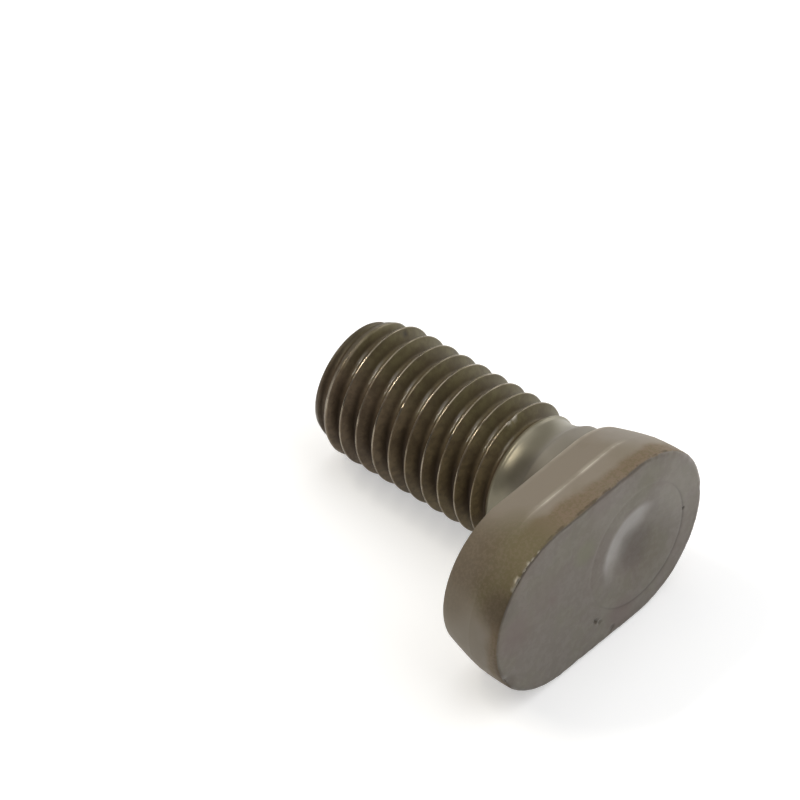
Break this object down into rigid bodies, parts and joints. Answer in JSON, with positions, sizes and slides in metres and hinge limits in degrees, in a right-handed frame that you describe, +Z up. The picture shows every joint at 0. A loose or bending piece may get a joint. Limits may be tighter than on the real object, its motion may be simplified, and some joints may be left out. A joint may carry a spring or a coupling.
{
  "type": "offset oval head bolt",
  "caption": "Threaded steel bolt whose flat-sided oval head sits off to one side of the shank, with a dimpled face, a short plain neck and a chamfered point.",
  "frame": {"origin": "middle of the bolt's box, on the surface that it lies on", "axes": "+Z up; +Y along the shank from the head's face to the tip, which lies about 4 degrees lower; the head's long end points to -X"},
  "size_m": [0.0246, 0.0306, 0.0159],
  "materials": {
    "steel": "plain dark steel as forged and rolled, lightly oiled"
  },
  "bodies": {
    "root": {"bolt": "steel"}
  },
  "joints": []
}
